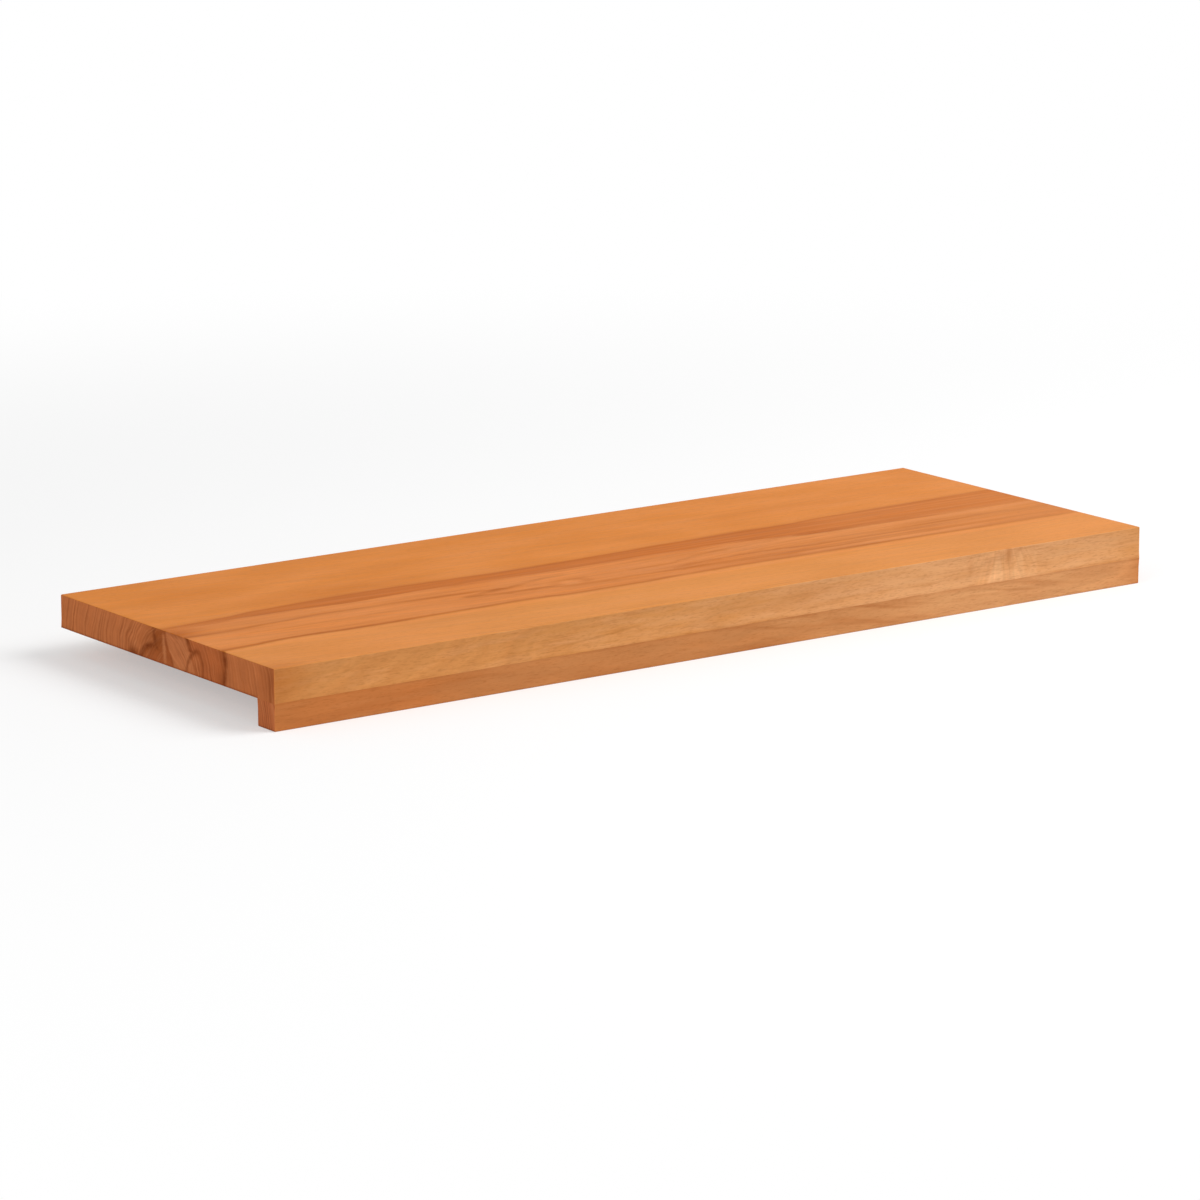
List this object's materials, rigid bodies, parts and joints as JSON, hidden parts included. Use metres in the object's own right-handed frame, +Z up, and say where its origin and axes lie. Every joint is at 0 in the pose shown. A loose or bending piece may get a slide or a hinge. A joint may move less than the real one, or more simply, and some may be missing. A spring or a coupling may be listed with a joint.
{
  "type": "stair tread",
  "caption": "Solid wood stair tread: a flat plank with a nosing strip glued under its front edge, laid over a step so that the lip hooks over the step's front.",
  "frame": {"origin": "middle of the tread's outline seen from above, level with the underside of the nosing", "axes": "+X along the step, -Y towards the climber, who faces the nosing's front, +Z up"},
  "size_m": [0.8, 0.29, 0.045],
  "materials": {
    "plank_wood": "planed and oiled, satin",
    "nosing_wood": "planed and oiled, satin"
  },
  "bodies": {
    "root": {"tread_plank": "plank_wood", "nosing_strip": "nosing_wood"}
  },
  "joints": []
}
